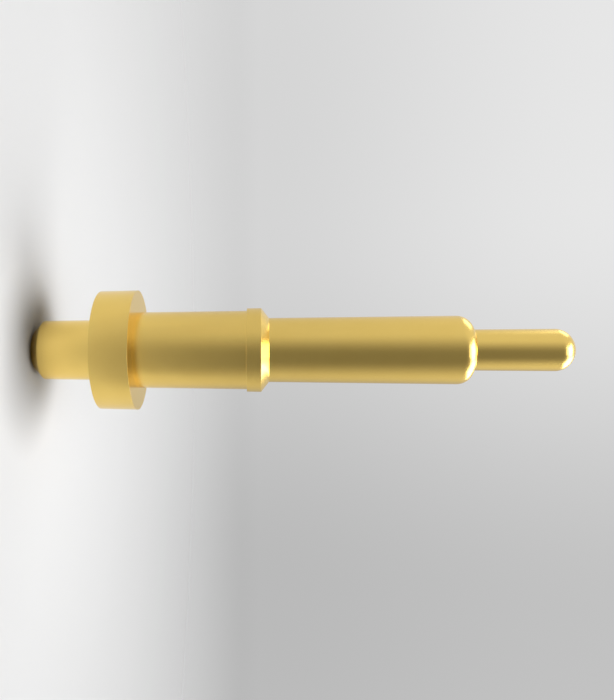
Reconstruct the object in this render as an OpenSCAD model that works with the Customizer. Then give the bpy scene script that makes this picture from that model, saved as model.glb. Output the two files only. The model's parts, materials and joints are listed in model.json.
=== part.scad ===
// Pogo pin: a spring-loaded contact pin for a circuit board.
// A turned barrel with a solder tail, a flange and a press ring holds a sliding plunger,
// which a small compression spring pushes up against the barrel's rolled mouth.
// The pin stands on its tail along Z, and the origin is the centre of the tail's end.

/* [Solder tail] */
// Diameter of the solder tail
tail_d = 1.53; // [1.2:0.01:1.8]
// Length of the solder tail, up to the flange
tail_len = 1.78; // [1:0.02:4]
// Size of the 45 degree chamfer on the end of the tail
tail_chamfer = 0.25; // [0.05:0.05:0.4]

/* [Flange and body] */
// Diameter of the flange
flange_d = 3; // [2.4:0.1:4]
// Thickness of the flange
flange_t = 0.94; // [0.5:0.01:1.5]
// Diameter of the lower body, under the press ring
body_d = 1.9; // [1.7:0.02:1.96]
// Length of the lower body, from the flange to the press ring
body_len = 2.66; // [2:0.02:4]

/* [Press ring] */
// Diameter of the press ring
ring_d = 2.02; // [1.98:0.02:2.2]
// Height of the press ring's straight band
ring_h = 0.33; // [0.2:0.01:0.6]
// Height of the lead-in cone above the band
ring_cone_h = 0.18; // [0.1:0.02:0.4]

/* [Upper barrel] */
// Diameter of the upper barrel
tube_d = 1.54; // [1.48:0.01:1.6]
// Length of the upper barrel, from the cone to the top of the rolled mouth
tube_len = 4.35; // [4:0.01:5]
// Thickness of the wall round the plunger
wall = 0.15; // [0.12:0.01:0.18]
// Outer radius of the rolled mouth
roll_r = 0.3; // [0.28:0.01:0.4]
// Height of the floor of the bore above the end of the tail
bore_floor = 3.3; // [3:0.1:3.6]

/* [Plunger] */
// Diameter of the plunger where it shows
plunger_d = 0.92; // [0.8:0.02:0.94]
// How far the plunger stands out of the mouth at rest
reach = 2; // [1.7:0.01:2.4]
// Radius of the crown of the contact end
crown_r = 0.54; // [0.46:0.01:1]
// Radius of the rounding from the crown to the plunger's side
tip_round_r = 0.32; // [0.1:0.01:0.4]
// Radial play of the plunger in the mouth and of its shoulder in the bore
play = 0.03; // [0.02:0.005:0.04]
// Length of the wide shoulder that runs in the bore
shoulder_len = 2; // [1.6:0.1:2.2]
// Length of the pilot that centres the spring
pilot_len = 0.4; // [0.2:0.05:0.5]

/* [Spring] */
// Diameter of the spring wire
wire_d = 0.15; // [0.12:0.01:0.16]
// Outer diameter of the spring
spring_d = 1.03; // [1:0.01:1.06]
// Number of turns, with the closed turn at each end
turns = 16; // [12:1:18]

/* [Hidden] */
$fn = 96;

tail_r = tail_d / 2;
flange_r = flange_d / 2;
flange_top = tail_len + flange_t;
body_r = body_d / 2;

ring_r = ring_d / 2;
ring_bottom = flange_top + body_len;
ring_top = ring_bottom + ring_h;
cone_top = ring_top + ring_cone_h;

// The rolled mouth's inner and outer arcs share the centre (roll_x, roll_z)
tube_r = tube_d / 2;
mouth_top = cone_top + tube_len;
roll_x = tube_r - roll_r;
roll_z = mouth_top - roll_r;

bore_r = tube_r - wall;
drill_r = 0.3;               // the drill's point, below the spring's seat
drill_slope = tan(31);       // a 118 degree point

plunger_r = plunger_d / 2;
mouth_r = plunger_r + play;
tip_z = mouth_top + reach;
crown_z = tip_z - crown_r;
round_x = plunger_r - tip_round_r;
round_z = crown_z + sqrt(pow(crown_r - tip_round_r, 2) - pow(round_x, 2));

// The shoulder's rounded top edge nests under the inner arc of the rolled mouth
shoulder_r = bore_r - play;
stop_gap = 0.01;
nest_r = shoulder_r - roll_x;
nest_z = roll_z - stop_gap;
spring_seat = nest_z - shoulder_len;

wire_r = wire_d / 2;
coil_r = spring_d / 2 - wire_r;
spring_len = spring_seat - bore_floor;
pilot_r = coil_r - wire_r - 0.035;
pilot_chamfer = 0.08;

// Turns of the spring: each end turn is closed, with a hair of air to the next
end_pitch = wire_d + 0.02;
mid_pitch = (spring_len - wire_d - 2 * end_pitch) / (turns - 2);
turn_steps = 16;
wire_sides = 8;

// Height of the wire's centre above the spring's foot, t turns from its lower end
function wire_z(t) =
    t < 1 ? wire_r + end_pitch * t
    : t < turns - 1 ? wire_r + end_pitch + mid_pitch * (t - 1)
    : spring_len - wire_r - end_pitch * (turns - t);

// One point of the wire's surface: step i along the coil, side j round the wire
function wire_point(i, j) =
    let (
        t = i / turn_steps,
        r = coil_r + wire_r * cos(360 * j / wire_sides)
    )
    [r * cos(360 * t), r * sin(360 * t), bore_floor + wire_z(t) + wire_r * sin(360 * j / wire_sides)];

// Half section of the barrel's outside, with the radius along X and the height along Y
module barrel_outside() {
    polygon([
        [0, 0], [tail_r - tail_chamfer, 0], [tail_r, tail_chamfer], [tail_r, tail_len],
        [flange_r, tail_len], [flange_r, flange_top], [body_r, flange_top],
        [body_r, ring_bottom], [ring_r, ring_bottom], [ring_r, ring_top],
        [tube_r, cone_top], [tube_r, roll_z], [0, roll_z]
    ]);
    translate([roll_x, roll_z]) circle(roll_r);
    translate([0, roll_z]) square([roll_x, roll_r]);
}

// Half section of the bore: drill point, straight bore, rolled lip and mouth
module barrel_inside() {
    polygon([
        [0, bore_floor - drill_r * drill_slope], [drill_r, bore_floor], [bore_r, bore_floor],
        [bore_r, roll_z], [0, roll_z]
    ]);
    translate([roll_x, roll_z]) circle(roll_r - wall);
    translate([0, roll_z]) square([roll_x, roll_r - wall]);
    translate([0, roll_z]) square([mouth_r, 2 * roll_r]);
}

module barrel() {
    color("goldenrod") rotate_extrude() difference() {
        barrel_outside();
        barrel_inside();
    }
}

// Half section of the shoulder, with its rounded top edge and its spring pilot
module shoulder_section() {
    translate([0, spring_seat]) square([shoulder_r, nest_z - spring_seat]);
    translate([roll_x, nest_z]) circle(nest_r);
    translate([0, nest_z]) square([roll_x, nest_r]);
    translate([0, spring_seat - pilot_len]) polygon([
        [0, 0], [pilot_r - pilot_chamfer, 0], [pilot_r, pilot_chamfer], [pilot_r, pilot_len],
        [0, pilot_len]
    ]);
}

// Half section of the stem that stands out of the mouth. Its contact end has a wide crown,
// and the wedge from the crown's centre through the rounding's centre ends the crown's arc.
module stem_section() {
    translate([0, nest_z]) square([plunger_r, round_z - nest_z]);
    intersection() {
        translate([round_x, round_z]) circle(tip_round_r);
        translate([0, round_z]) square([plunger_r, tip_round_r]);
    }
    translate([0, crown_z]) intersection() {
        circle(crown_r);
        polygon([[0, 0], 3 * [round_x, round_z - crown_z], [0, crown_r * 2]]);
    }
}

module plunger() {
    color("gold") rotate_extrude() {
        shoulder_section();
        stem_section();
    }
}

module spring() {
    last = turns * turn_steps;
    points = [for (i = [0:last], j = [0:wire_sides - 1]) wire_point(i, j)];
    sides = [
        for (i = [0:last - 1], j = [0:wire_sides - 1])
            let (a = i * wire_sides, k = (j + 1) % wire_sides)
            [a + j, a + wire_sides + j, a + wire_sides + k, a + k]
    ];
    foot = [[for (j = [0:wire_sides - 1]) j]];
    head = [[for (j = [wire_sides - 1:-1:0]) last * wire_sides + j]];
    color("silver") polyhedron(points, concat(foot, sides, head), convexity = 10);
}

barrel();
plunger();
spring();
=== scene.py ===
import json
from math import asin, atan2, cos, pi, radians, sin, tan

import bmesh
import bpy
from mathutils import Matrix, Vector


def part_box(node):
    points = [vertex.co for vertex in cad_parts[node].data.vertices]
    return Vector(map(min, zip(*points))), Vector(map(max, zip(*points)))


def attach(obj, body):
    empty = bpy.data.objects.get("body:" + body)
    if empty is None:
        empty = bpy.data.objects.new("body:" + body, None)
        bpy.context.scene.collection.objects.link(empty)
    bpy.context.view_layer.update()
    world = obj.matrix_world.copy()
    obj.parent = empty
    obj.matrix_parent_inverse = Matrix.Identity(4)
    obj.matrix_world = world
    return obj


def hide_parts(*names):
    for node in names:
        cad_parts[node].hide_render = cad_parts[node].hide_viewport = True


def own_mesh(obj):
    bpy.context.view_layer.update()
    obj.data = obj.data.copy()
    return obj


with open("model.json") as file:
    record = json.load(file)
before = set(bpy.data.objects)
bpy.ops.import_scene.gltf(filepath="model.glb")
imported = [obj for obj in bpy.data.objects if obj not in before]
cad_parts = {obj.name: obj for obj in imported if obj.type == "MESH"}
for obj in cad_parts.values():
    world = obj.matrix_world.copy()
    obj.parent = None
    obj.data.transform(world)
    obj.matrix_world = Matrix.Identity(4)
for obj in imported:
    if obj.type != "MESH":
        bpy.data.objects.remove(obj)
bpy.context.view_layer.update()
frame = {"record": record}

mm = 0.001
mounts = {m["name"]: m for m in frame["record"]["mounts"]}


def height(mount):                        # height of a mount's point on the pin
    return mounts[mount]["pos_m"][2]


def span(mount):                          # lowest and highest point of a mount's straight wall
    half = mounts[mount]["dims"]["length_mm"] * mm / 2
    return height(mount) - half, height(mount) + half


# ---- camera

cameraSetup = {
    "lens": 32.56,                        # with the 36 mm sensor along the picture's long side
    "pitch": radians(14.2),               # looking down on the floor
    "distance": 15.747 * mm,              # from the pin's axis
    "height": 5.688 * mm,
    "shift": 0.2957,
}


def makeCamera(setup):
    data = bpy.data.cameras.new("camera")
    data.lens = setup["lens"]
    data.sensor_width = 36
    data.shift_x = setup["shift"]
    data.clip_start, data.clip_end = 0.5 * mm, 5
    camera = bpy.data.objects.new("camera", data)
    bpy.context.scene.collection.objects.link(camera)
    down = setup["pitch"]
    right = Vector((0, sin(down), cos(down)))             # the pin's tip points to the right
    up = Vector((-1, 0, 0))
    back = Vector((0, -cos(down), sin(down)))
    turn = Matrix((right, up, back)).transposed().to_4x4()
    camera.matrix_world = Matrix.Translation((0, -setup["distance"], setup["height"])) @ turn
    bpy.context.scene.camera = camera


makeCamera(cameraSetup)
print("camera: done")


# ---- shader maths

class Wire:                               # a node socket that takes part in Python arithmetic
    def __init__(self, graph, socket):
        self.graph, self.socket = graph, socket

    def maths(self, operation, *others, flip=False):
        values = (*others, self) if flip else (self, *others)
        return self.graph.add("Math", {"operation": operation}, dict(enumerate(values)))

    def __add__(self, other): return self.maths("ADD", other)
    def __sub__(self, other): return self.maths("SUBTRACT", other)
    def __mul__(self, other): return self.maths("MULTIPLY", other)
    def __truediv__(self, other): return self.maths("DIVIDE", other)
    def __rsub__(self, other): return self.maths("SUBTRACT", other, flip=True)
    def __rtruediv__(self, other): return self.maths("DIVIDE", other, flip=True)
    __radd__, __rmul__ = __add__, __mul__


class Graph:
    def __init__(self, tree):
        self.tree = tree
        tree.nodes.clear()

    def add(self, kind, settings={}, inputs={}, out=0):
        node = self.tree.nodes.new("ShaderNode" + kind)
        for name, value in settings.items():
            setattr(node, name, value)
        for name, value in inputs.items():
            if isinstance(value, Wire):
                self.tree.links.new(value.socket, node.inputs[name])
            else:
                node.inputs[name].default_value = value
        return Wire(self, node.outputs[out]) if node.outputs else node

    def blend(self, factor, a, b):        # a colour between a and b
        return self.add("Mix", {"data_type": "RGBA"}, {0: factor, 6: a, 7: b}, out=2)

    def ease(self, value, low, high):     # 0 below low, 1 above high, smooth between
        return self.add("MapRange", {"interpolation_type": "SMOOTHSTEP"},
                        {"Value": value, "From Min": low, "From Max": high})

    def firstBounce(self):                # 0 once the light has met a plain surface
        return self.add("LightPath", out="Diffuse Depth").maths("LESS_THAN", 0.5)

    def split(self, vector):              # the three numbers of a vector
        node = self.tree.nodes.new("ShaderNodeSeparateXYZ")
        self.tree.links.new(vector.socket, node.inputs[0])
        return [Wire(self, output) for output in node.outputs]


def newMaterial(name):
    material = bpy.data.materials.new(name)
    material.use_nodes = True
    return material, Graph(material.node_tree)


# ---- finishes

barrelGold = {
    "colour": (0.90, 0.64, 0.18, 1),
    "deep": (0.89, 0.63, 0.174, 1),       # where the plating is a shade thinner
    "roughness": 0.25,
    "roughnessSpread": 0.015,
    "marks": 22,                          # turning marks per mm
    "markDepth": 0.00002 * mm,
    "grain": 42,                          # specks per mm
    "grainDepth": 0.00005 * mm,
}
plungerGold = dict(barrelGold, roughness=0.24, grainDepth=0.00002 * mm)


def goldPlating(name, look):
    material, graph = newMaterial(name)
    place = graph.add("TexCoord", out=3)
    inMm = graph.add("Mapping", {"vector_type": "POINT"}, {"Vector": place, "Scale": (1 / mm,) * 3})
    x, y, z = graph.split(inMm)
    radius = (x * x + y * y).maths("SQRT")
    around = graph.add("CombineXYZ", {}, {0: radius, 1: z, 2: y.maths("ARCTAN2", x) * 0.05})
    marks = graph.add("TexNoise", {}, {"Vector": around, "Scale": look["marks"], "Detail": 3,
                                       "Roughness": 0.65})
    grain = graph.add("TexNoise", {}, {"Vector": inMm, "Scale": look["grain"], "Detail": 2,
                                       "Roughness": 0.6})
    cloud = graph.add("TexNoise", {}, {"Vector": inMm, "Scale": 1.7, "Detail": 3, "Roughness": 0.5})
    colour = graph.blend(graph.ease(cloud, 0.35, 0.7), look["colour"], look["deep"])
    roughness = (cloud - 0.5) * look["roughnessSpread"] + (grain - 0.5) * 0.06 + look["roughness"]
    marked = graph.add("Bump", {}, {"Strength": 1, "Distance": look["markDepth"], "Height": marks})
    grained = graph.add("Bump", {}, {"Strength": 1, "Distance": look["grainDepth"], "Height": grain,
                                     "Normal": marked})
    gold = graph.add("BsdfPrincipled", {}, {"Base Color": colour, "Metallic": 1,
                                            "Roughness": roughness, "Normal": grained})
    graph.add("OutputMaterial", {}, {"Surface": gold})
    return material


springSteel = {"colour": (0.62, 0.62, 0.63, 1), "dark": (0.48, 0.48, 0.50, 1), "roughness": 0.3}


def drawnWire(name, look):
    material, graph = newMaterial(name)
    place = graph.add("TexCoord", out=3)
    inMm = graph.add("Mapping", {}, {"Vector": place, "Scale": (1 / mm,) * 3})
    streaks = graph.add("TexNoise", {}, {"Vector": inMm, "Scale": 30, "Detail": 2})
    colour = graph.blend(streaks, look["colour"], look["dark"])
    dents = graph.add("Bump", {}, {"Strength": 1, "Distance": 0.0001 * mm, "Height": streaks})
    steel = graph.add("BsdfPrincipled", {}, {
        "Base Color": colour, "Metallic": 1, "Normal": dents,
        "Roughness": streaks * 0.1 + look["roughness"]})
    graph.add("OutputMaterial", {}, {"Surface": steel})
    return material


# ---- turned pieces

def arc(centreR, centreZ, radius, start, end, count):     # points of an arc in the half section
    angles = [radians(start + (end - start) * i / count) for i in range(count + 1)]
    return [(centreR + radius * cos(a), centreZ + radius * sin(a)) for a in angles]


def turned(name, outline, edgeBreak, steps=192):
    bm = bmesh.new()
    points = [bm.verts.new((r, 0, z)) for r, z in outline]
    for pair in zip(points, points[1:]):
        bm.edges.new(pair)
    corners = [b for a, b, c in zip(points, points[1:], points[2:])           # outer corners only
               if (b.co - a.co).cross(c.co - b.co).y < -sin(radians(20)) * (b.co - a.co).length
               * (c.co - b.co).length]
    bmesh.ops.bevel(bm, geom=corners, offset=edgeBreak, offset_type="OFFSET", affect="VERTICES",
                    segments=3, profile=0.5, material=-1)
    hold = 1.5 * edgeBreak
    for edge in [e for e in bm.edges if e.calc_length() > 4 * hold]:           # keeps the shading tight
        for end in tuple(edge.verts):
            bmesh.utils.edge_split(edge, end, hold / edge.calc_length())
    bmesh.ops.spin(bm, geom=bm.verts[:] + bm.edges[:], cent=(0, 0, 0), axis=(0, 0, 1),
                   dvec=(0, 0, 0), angle=2 * pi, steps=steps, use_merge=True)
    bmesh.ops.remove_doubles(bm, verts=bm.verts, dist=edgeBreak / 50)
    bmesh.ops.recalc_face_normals(bm, faces=bm.faces)
    for edge in bm.edges:                 # inner corners stay crisp
        edge.smooth = edge.calc_face_angle(0) < radians(40)
    return finished(name, bm)


def finished(name, bm):
    mesh = bpy.data.meshes.new(name)
    bm.to_mesh(mesh)
    bm.free()
    mesh.shade_smooth()
    piece = bpy.data.objects.new(name, mesh)
    bpy.context.scene.collection.objects.link(piece)
    return piece


# ---- barrel

barrelShape = {
    "bodyRadius": 0.95 * mm,
    "boreRadius": 0.62 * mm,
    "mouthRadius": 0.49 * mm,
    "drillRadius": 0.30 * mm,             # the drill's point below the spring's seat
    "drillAngle": radians(31),
    "edgeBreak": 0.002 * mm,
}


def barrelOutline(shape):
    tailR = mounts["solder_tail"]["dims"]["r_mm"] * mm
    chamfer, tailTop = span("solder_tail")
    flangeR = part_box("barrel")[1].x
    flangeTop = height("flange_top")
    ringR = mounts["press_ring"]["dims"]["r_mm"] * mm
    ringBottom, ringTop = span("press_ring")
    tubeR = mounts["upper_barrel"]["dims"]["r_mm"] * mm
    coneTop, rollZ = span("upper_barrel")
    bodyR, boreR, mouthR = shape["bodyRadius"], shape["boreRadius"], shape["mouthRadius"]
    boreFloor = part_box("spring")[0].z
    # the rolled mouth's two arcs have one centre
    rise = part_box("barrel")[1].z - rollZ
    rollR = ((tubeR - mouthR) ** 2 + rise ** 2) / (2 * (tubeR - mouthR))
    rollX = tubeR - rollR
    lipR = boreR - rollX
    lipEnd = atan2((lipR ** 2 - (mouthR - rollX) ** 2) ** 0.5, mouthR - rollX) * 180 / pi
    rollEnd = atan2(rise, mouthR - rollX) * 180 / pi
    outside = [
        (0, 0), (tailR - chamfer, 0), (tailR, chamfer), (tailR, tailTop), (flangeR, tailTop),
        (flangeR, flangeTop), (bodyR, flangeTop), (bodyR, ringBottom), (ringR, ringBottom),
        (ringR, ringTop), (tubeR, coneTop)]
    roll = arc(rollX, rollZ, rollR, 0, rollEnd, 28)
    lip = arc(rollX, rollZ, lipR, lipEnd, 0, 12)
    floor = [(boreR, boreFloor), (shape["drillRadius"], boreFloor),
             (0, boreFloor - shape["drillRadius"] * tan(shape["drillAngle"]))]
    return outside + roll + lip + floor


barrel = turned("barrel_turned", barrelOutline(barrelShape), barrelShape["edgeBreak"])
barrel.data.materials.append(goldPlating("barrel gold", barrelGold))
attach(barrel, "barrel_body")
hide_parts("barrel")
print("barrel: done,", len(barrel.data.polygons), "faces")


# ---- plunger

plungerShape = {
    "radius": 0.46 * mm,
    "crownRadius": 0.54 * mm,             # the contact end
    "roundRadius": 0.32 * mm,             # from the crown to the side
    "shoulderRadius": 0.59 * mm,
    "nestRadius": 0.12 * mm,              # the shoulder's top edge, under the rolled mouth
    "pilotRadius": 0.33 * mm,
    "pilotLength": 0.40 * mm,
    "pilotChamfer": 0.08 * mm,
    "stopGap": 0.01 * mm,
    "edgeBreak": 0.002 * mm,
}


def plungerOutline(shape):
    foot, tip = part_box("plunger")[0].z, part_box("plunger")[1].z
    seat = foot + shape["pilotLength"]
    radius, shoulder, nest = shape["radius"], shape["shoulderRadius"], shape["nestRadius"]
    nestZ = span("upper_barrel")[1] - shape["stopGap"]
    crown, rounding = shape["crownRadius"], shape["roundRadius"]
    roundX = radius - rounding
    lean = asin(roundX / (crown - rounding)) * 180 / pi   # where the crown meets the rounding
    roundZ = tip - crown + (crown - rounding) * cos(radians(lean))
    pilot = [(0, foot), (shape["pilotRadius"] - shape["pilotChamfer"], foot),
             (shape["pilotRadius"], foot + shape["pilotChamfer"]), (shape["pilotRadius"], seat),
             (shoulder, seat)]
    return (pilot + arc(shoulder - nest, nestZ, nest, 0, 90, 12) + [(radius, nestZ + nest)]
            + arc(roundX, roundZ, rounding, 0, 90 - lean, 24)
            + arc(0, tip - crown, crown, 90 - lean, 90, 24)[1:])


plunger = turned("plunger_turned", plungerOutline(plungerShape), plungerShape["edgeBreak"])
plunger.data.materials.append(goldPlating("plunger gold", plungerGold))
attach(plunger, "plunger_body")
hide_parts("plunger")
print("plunger: done,", len(plunger.data.polygons), "faces")


# ---- spring

springShape = {
    "wire": 0.15 * mm,
    "diameter": 1.03 * mm,
    "turns": 16,
    "endPitch": 0.17 * mm,                # the closed turn at each end
    "stepsPerTurn": 32,
    "wireSides": 12,
}


def coilSpring(shape):
    foot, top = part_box("spring")[0].z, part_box("spring")[1].z
    wireR = shape["wire"] / 2
    middle = shape["turns"] - 2
    pitch = (top - foot - shape["wire"] - 2 * shape["endPitch"]) / middle
    bm = bmesh.new()
    start = Matrix.Translation((shape["diameter"] / 2 - wireR, 0, foot + wireR))
    made = bmesh.ops.create_circle(bm, cap_ends=True, radius=wireR, segments=shape["wireSides"],
                                   matrix=start @ Matrix.Rotation(pi / 2, 4, "X"))
    last = made["verts"] + list({e for v in made["verts"] for e in v.link_edges}) + bm.faces[:]
    for turns, rise in ((1, shape["endPitch"]), (middle, pitch), (1, shape["endPitch"])):
        steps = shape["stepsPerTurn"] * turns
        swept = bmesh.ops.spin(bm, geom=last, cent=(0, 0, 0), axis=(0, 0, 1), angle=2 * pi * turns,
                               dvec=(0, 0, rise / shape["stepsPerTurn"]), steps=steps,
                               use_merge=False)
        last = swept["geom_last"]
    bmesh.ops.recalc_face_normals(bm, faces=bm.faces)
    return finished("spring_coil", bm)


spring = coilSpring(springShape)
spring.data.materials.append(drawnWire("spring steel", springSteel))
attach(spring, "barrel_body")
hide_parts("spring")
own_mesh(spring)
print("spring: done,", len(spring.data.polygons), "faces")


# ---- floor, studio and light

studio = {
    "floorRadius": 1500 * mm,
    "floorColour": (0.95, 0.95, 0.95, 1),
    "litFloor": (0.98, 0.98, 0.98, 1),    # painted light: a lighter floor colour under the side lamp
    "nearFloor": (0.64, 0.64, 0.64, 1),   # painted shade towards the camera, which only the metal's reflections show
    "footFloor": (0.56, 0.56, 0.56, 1),   # painted shadow close to the tail
    "litReach": (-4 * mm, 9 * mm),        # where the painted light turns the floor lighter, along X
    "frontReach": (2.4 * mm, 11 * mm),    # where the painted shade turns it darker, towards the camera
    # centre and reach of the painted shadow around the tail
    "footCentre": (0.3 * mm, -0.6 * mm),
    "footReach": (0.7 * mm, 2.6 * mm),
    "fadeLength": 18 * mm,                # how soon the floor melts into the backdrop
    "horizon": 0.665,                     # the backdrop's level, and what it gains further up
    "rise": 0.135,
    "darkest": 0.225,                     # the dark side behind the camera
    "fill": 0.15,                         # the backdrop's light on plain surfaces
    "lampDistance": 150 * mm,
    "gleamDistance": 135 * mm,            # nearer, so that the plain lamps don't hide them
    "lampAim": 6 * mm,                    # the height on the pin they face
}
lamps = [                                 # light on plain surfaces, gleam on metal
    {"name": "key", "tilt": 11, "turn": 14, "size": (36, 35), "light": 3.9, "gleam": 5.4},
    {"name": "key front", "tilt": 36, "turn": 3, "size": (32, 14), "light": 1.9, "gleam": 2.7},
    {"name": "side", "tilt": 37, "turn": 108, "size": (44, 35), "light": 3.4, "gleam": 4.8},
    {"name": "rim", "tilt": 52, "turn": -121, "size": (27, 25), "light": 1.2, "gleam": 1.9},
]


def makeFloor(setup):
    bm = bmesh.new()
    bmesh.ops.create_circle(bm, cap_ends=True, radius=setup["floorRadius"], segments=96)
    bmesh.ops.translate(bm, verts=bm.verts, vec=(0, 0, -0.002 * mm))
    floor = finished("floor", bm)
    material, graph = newMaterial("floor")
    x, y, z = graph.split(graph.add("TexCoord", out=3))
    reach = (x * x + y * y).maths("SQRT") / setup["fadeLength"]
    fade = reach.maths("POWER", 1.3)
    # painted light: the floor colour turns lighter along X, as under the side lamp
    paintedLightMask = graph.ease(x, *setup["litReach"])
    inMetal = 1 - graph.add("LightPath", out="Is Camera Ray")
    # painted shade: a darker floor towards the camera, seen only in the metal's reflections
    paintedFrontShadeMask = inMetal * graph.ease(y * -1, *setup["frontReach"])
    # painted shadow: a darker floor colour around the tail
    footX, footY = [(wire - centre).maths("POWER", 2)
                    for wire, centre in zip((x, y), setup["footCentre"])]
    paintedShadowMask = 1 - graph.ease((footX + footY).maths("SQRT"), *setup["footReach"])
    colour = graph.blend(paintedLightMask, setup["floorColour"], setup["litFloor"])
    colour = graph.blend(paintedFrontShadeMask, colour, setup["nearFloor"])
    colour = graph.blend(paintedShadowMask, colour, setup["footFloor"])
    paint = graph.add("BsdfDiffuse", {}, {"Color": colour})
    clear = graph.add("BsdfTransparent")
    mixed = graph.add("MixShader", {}, {0: fade / (fade + 1), 1: paint, 2: clear})
    graph.add("OutputMaterial", {}, {"Surface": mixed})
    floor.data.materials.append(material)


def makeWorld(setup):                     # a pale room with a dark side behind the camera
    world = bpy.data.worlds.new("studio")
    bpy.context.scene.world = world
    world.use_nodes = True
    graph = Graph(world.node_tree)
    x, y, z = graph.split(graph.add("TexCoord", out=0))
    front = x.maths("ARCTAN2", y * -1)    # turn from the camera's side, towards +X
    rear = x.maths("ARCTAN2", y)
    pale = (graph.ease(z, 0, 0.45) * setup["rise"] + setup["horizon"]
            + graph.ease(x * -1, 0.3, 0.9) * 0.05)
    darkFront = graph.ease(front, radians(-55), radians(12)) * (
        1 - graph.ease(front, radians(38), radians(111)))
    darkRear = graph.ease(rear, radians(-12), radians(20)) * (
        1 - graph.ease(rear, radians(22), radians(70)))
    top = 1 - graph.ease(z, 0.6, 0.85)
    inMetal = 1 - graph.add("LightPath", out="Is Camera Ray")
    frontDrop = inMetal * darkFront * top * (pale - setup["darkest"])
    rearDrop = darkRear * top * (pale * 0.63 - 0.244)
    level = pale - frontDrop - rearDrop
    seen = (graph.add("LightPath", out="Is Camera Ray") + graph.add("LightPath", out="Is Glossy Ray")
            + graph.add("LightPath", out="Is Transmission Ray")) * graph.firstBounce()
    share = seen * (1 - setup["fill"]) + setup["fill"]
    sky = graph.add("Background", {}, {"Color": (1, 1, 1, 1), "Strength": level * share})
    graph.add("OutputWorld", {}, {"Surface": sky})


def makeLamp(lamp, setup):
    tilt, turn = radians(lamp["tilt"]), radians(lamp["turn"])
    aim = Vector((sin(tilt) * sin(turn), -sin(tilt) * cos(turn), cos(tilt)))
    facing = aim.to_track_quat("Z", "Y").to_matrix().to_4x4()
    for part, distance in (("light", setup["lampDistance"]), ("gleam", setup["gleamDistance"])):
        data = bpy.data.lights.new(lamp["name"] + " " + part, "AREA")
        data.shape = "RECTANGLE"
        data.size, data.size_y = [2 * distance * tan(radians(angle / 2)) for angle in lamp["size"]]
        data.energy = lamp[part] * pi * data.size * data.size_y
        light = bpy.data.objects.new(data.name, data)
        bpy.context.scene.collection.objects.link(light)
        light.matrix_world = Matrix.Translation(aim * distance + Vector((0, 0, setup["lampAim"]))) @ facing
        light.visible_camera = False
        if part == "gleam":               # metal doesn't throw its gleam back on the floor
            data.use_nodes = True
            graph = Graph(data.node_tree)
            glow = graph.add("Emission", {}, {"Color": (1, 1, 1, 1), "Strength": graph.firstBounce()})
            graph.add("OutputLight", {}, {"Surface": glow})
        light.visible_diffuse = part == "light"
        light.visible_glossy = part == "gleam"


makeFloor(studio)
makeWorld(studio)
for lamp in lamps:
    makeLamp(lamp, studio)
scene = bpy.context.scene
scene.view_settings.view_transform = "Standard"
print("studio: done")
